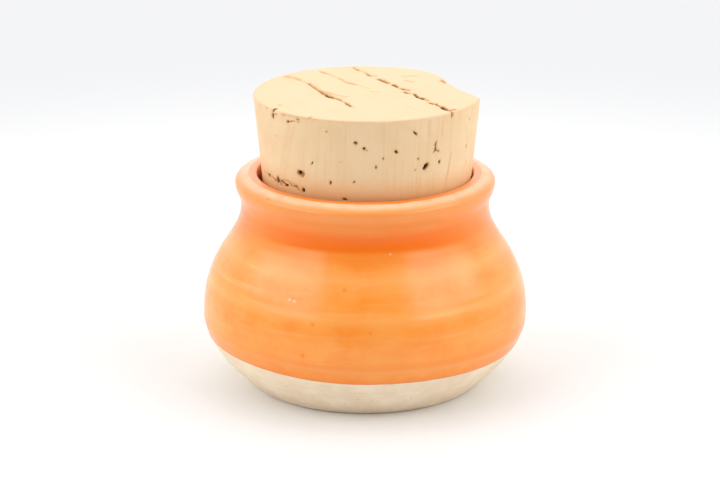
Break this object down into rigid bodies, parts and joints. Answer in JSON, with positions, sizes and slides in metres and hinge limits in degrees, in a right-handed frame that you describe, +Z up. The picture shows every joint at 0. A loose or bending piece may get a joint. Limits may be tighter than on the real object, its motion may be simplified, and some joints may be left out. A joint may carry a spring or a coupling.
{
  "type": "corked ceramic jar",
  "caption": "Small thrown stoneware jar with a round belly, short neck and flared lip, glazed orange over a bare foot and shut with a wide tapered natural cork.",
  "frame": {"origin": "centre of the flat base, on the surface that the jar stands on", "axes": "+Z up the jar's axis, -Y towards the front, where the long crack in the cork runs over the edge"},
  "size_m": [0.0828, 0.0828, 0.0744],
  "materials": {
    "glaze": "glossy",
    "bare_clay": "matte",
    "cork": "matte"
  },
  "bodies": {
    "root": {"jar": "glaze", "cork": "cork"}
  },
  "joints": []
}
